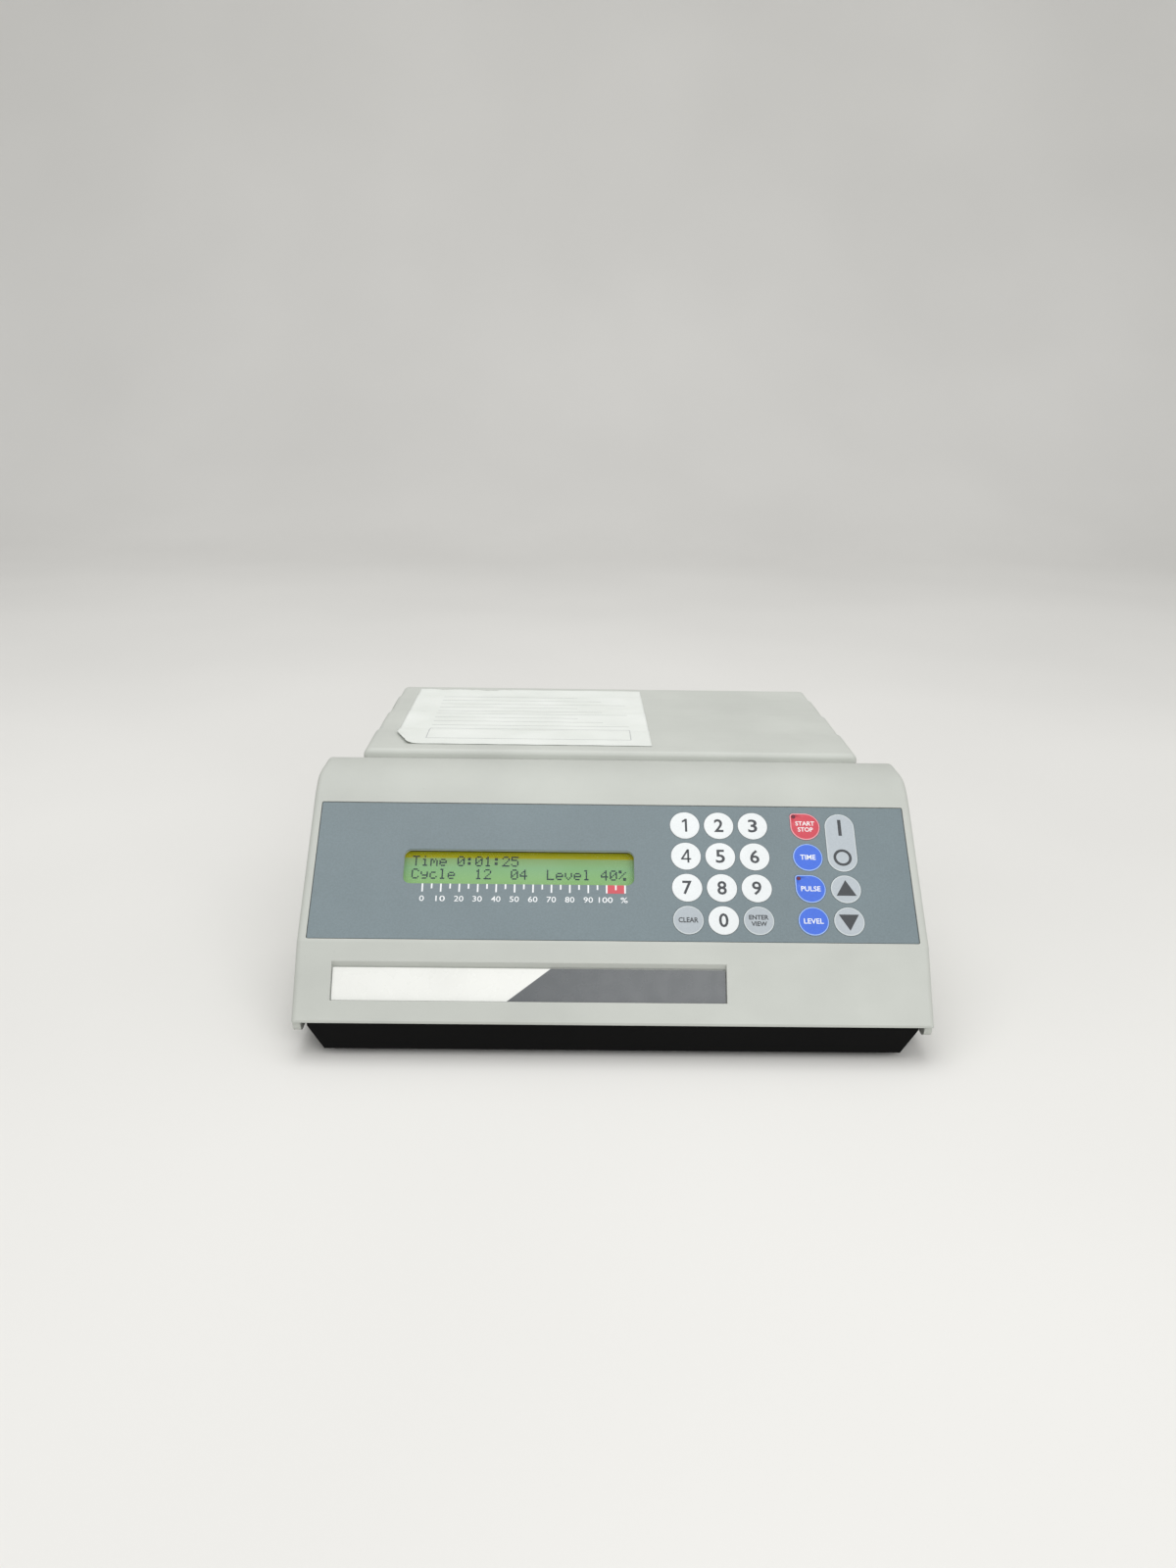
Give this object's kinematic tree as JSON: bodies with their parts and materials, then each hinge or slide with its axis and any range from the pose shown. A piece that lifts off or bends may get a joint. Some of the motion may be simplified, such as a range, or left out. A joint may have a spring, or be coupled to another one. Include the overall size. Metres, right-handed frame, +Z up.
{
  "type": "probe sonicator generator",
  "caption": "Bench generator of a probe sonicator: sloping keypad console with a display, stepped rear cover, dark tray, and fan and sockets at the back.",
  "frame": {"origin": "centre of the footprint's bounding box, on the surface that the feet stand on", "axes": "+X to the right seen from the front, +Y from the front lip to the sockets at the back, +Z up"},
  "size_m": [0.2466, 0.228, 0.0952],
  "materials": {
    "housing": "satin",
    "tray": "satin",
    "rubber": "matte",
    "steel": "satin",
    "rear_plate": "satin",
    "black_plastic": "satin",
    "white_plastic": "satin",
    "chrome": "gloss",
    "nickel": "satin",
    "brass": "satin",
    "overlay": "satin",
    "clear_film": "gloss",
    "key_grey": "satin",
    "key_light": "satin",
    "key_red": "satin",
    "key_blue": "satin",
    "plate": "gloss",
    "label": "matte",
    "window": "gloss",
    "glass": "gloss",
    "lcd": "gloss",
    "black_metal": "satin",
    "board": "satin",
    "aluminium": "satin",
    "capacitor": "gloss",
    "ferrite": "matte",
    "winding": "satin"
  },
  "bodies": {
    "case": {"front_console": "housing", "rear_cover": "housing", "base_tray": "tray", "rubber_feet": "rubber", "foot_screws": "steel", "case_screws": "steel", "rear_plate": "rear_plate", "plate_screws": "steel", "fan_frame": "black_plastic", "fan_guard": "chrome", "fan_screws": "steel", "inlet_socket": "black_plastic", "inlet_blades": "brass", "converter_socket": "nickel", "socket_insulator": "white_plastic", "socket_contact": "brass", "footswitch_jack": "black_plastic", "socket_nuts": "nickel", "data_socket": "nickel", "jack_posts": "nickel", "panel_overlay": "overlay", "keypad_circuit": "clear_film", "snap_domes": "steel", "name_plate": "plate", "top_label": "label", "display_window": "window", "lcd_frame": "black_metal", "lcd_glass": "lcd", "lcd_board": "board", "main_board": "board", "board_screws": "steel", "heat_sink": "aluminium", "power_transistors": "black_plastic", "capacitors": "capacitor", "output_transformer": "ferrite", "choke": "ferrite", "mains_transformer": "winding", "transformer_bolt": "steel"},
    "key_1_body": {"key_1": "key_grey"},
    "key_2_body": {"key_2": "key_grey"},
    "key_3_body": {"key_3": "key_grey"},
    "key_4_body": {"key_4": "key_grey"},
    "key_5_body": {"key_5": "key_grey"},
    "key_6_body": {"key_6": "key_grey"},
    "key_7_body": {"key_7": "key_grey"},
    "key_8_body": {"key_8": "key_grey"},
    "key_9_body": {"key_9": "key_grey"},
    "key_clear_body": {"key_clear": "key_grey"},
    "key_0_body": {"key_0": "key_grey"},
    "key_enter_body": {"key_enter": "key_grey"},
    "key_start_stop_body": {"key_start_stop": "key_red"},
    "key_timer_body": {"key_timer": "key_blue"},
    "key_pulser_body": {"key_pulser": "key_blue"},
    "key_ampl_body": {"key_ampl": "key_blue"},
    "key_power_body": {"key_power": "key_light"},
    "key_up_body": {"key_up": "key_light"},
    "key_down_body": {"key_down": "key_light"},
    "fan": {"fan_rotor": "black_plastic"},
    "drawer": {"fuse_drawer": "black_plastic", "fuse": "glass"}
  },
  "joints": [
    {"name": "key_1_press", "type": "slide", "parent": "case", "child": "key_1_body", "axis": [0, 0.682, -0.7314], "range_m": [0, 0.00035], "stiffness_N_per_m": 2000, "deforming": ["snap_domes"]},
    {"name": "key_2_press", "type": "slide", "parent": "case", "child": "key_2_body", "axis": [0, 0.682, -0.7314], "range_m": [0, 0.00035], "stiffness_N_per_m": 2000},
    {"name": "key_3_press", "type": "slide", "parent": "case", "child": "key_3_body", "axis": [0, 0.682, -0.7314], "range_m": [0, 0.00035], "stiffness_N_per_m": 2000},
    {"name": "key_4_press", "type": "slide", "parent": "case", "child": "key_4_body", "axis": [0, 0.682, -0.7314], "range_m": [0, 0.00035], "stiffness_N_per_m": 2000},
    {"name": "key_5_press", "type": "slide", "parent": "case", "child": "key_5_body", "axis": [0, 0.682, -0.7314], "range_m": [0, 0.00035], "stiffness_N_per_m": 2000},
    {"name": "key_6_press", "type": "slide", "parent": "case", "child": "key_6_body", "axis": [0, 0.682, -0.7314], "range_m": [0, 0.00035], "stiffness_N_per_m": 2000},
    {"name": "key_7_press", "type": "slide", "parent": "case", "child": "key_7_body", "axis": [0, 0.682, -0.7314], "range_m": [0, 0.00035], "stiffness_N_per_m": 2000},
    {"name": "key_8_press", "type": "slide", "parent": "case", "child": "key_8_body", "axis": [0, 0.682, -0.7314], "range_m": [0, 0.00035], "stiffness_N_per_m": 2000},
    {"name": "key_9_press", "type": "slide", "parent": "case", "child": "key_9_body", "axis": [0, 0.682, -0.7314], "range_m": [0, 0.00035], "stiffness_N_per_m": 2000},
    {"name": "key_clear_press", "type": "slide", "parent": "case", "child": "key_clear_body", "axis": [0, 0.682, -0.7314], "range_m": [0, 0.00035], "stiffness_N_per_m": 2000},
    {"name": "key_0_press", "type": "slide", "parent": "case", "child": "key_0_body", "axis": [0, 0.682, -0.7314], "range_m": [0, 0.00035], "stiffness_N_per_m": 2000},
    {"name": "key_enter_press", "type": "slide", "parent": "case", "child": "key_enter_body", "axis": [0, 0.682, -0.7314], "range_m": [0, 0.00035], "stiffness_N_per_m": 2000},
    {"name": "key_start_stop_press", "type": "slide", "parent": "case", "child": "key_start_stop_body", "axis": [0, 0.682, -0.7314], "range_m": [0, 0.00035], "stiffness_N_per_m": 2000},
    {"name": "key_timer_press", "type": "slide", "parent": "case", "child": "key_timer_body", "axis": [0, 0.682, -0.7314], "range_m": [0, 0.00035], "stiffness_N_per_m": 2000},
    {"name": "key_pulser_press", "type": "slide", "parent": "case", "child": "key_pulser_body", "axis": [0, 0.682, -0.7314], "range_m": [0, 0.00035], "stiffness_N_per_m": 2000},
    {"name": "key_ampl_press", "type": "slide", "parent": "case", "child": "key_ampl_body", "axis": [0, 0.682, -0.7314], "range_m": [0, 0.00035], "stiffness_N_per_m": 2000},
    {"name": "key_power_press", "type": "slide", "parent": "case", "child": "key_power_body", "axis": [0, 0.682, -0.7314], "range_m": [0, 0.00035], "stiffness_N_per_m": 2000},
    {"name": "key_up_press", "type": "slide", "parent": "case", "child": "key_up_body", "axis": [0, 0.682, -0.7314], "range_m": [0, 0.00035], "stiffness_N_per_m": 2000},
    {"name": "key_down_press", "type": "slide", "parent": "case", "child": "key_down_body", "axis": [0, 0.682, -0.7314], "range_m": [0, 0.00035], "stiffness_N_per_m": 2000},
    {"name": "fan_spin", "type": "hinge", "parent": "case", "child": "fan", "pos_m": [-0.058, 0.086, 0.052], "axis": [0, 1, 0], "continuous": true},
    {"name": "drawer_slide", "type": "slide", "parent": "case", "child": "drawer", "axis": [0, 1, 0], "range_m": [0, 0.016]}
  ]
}
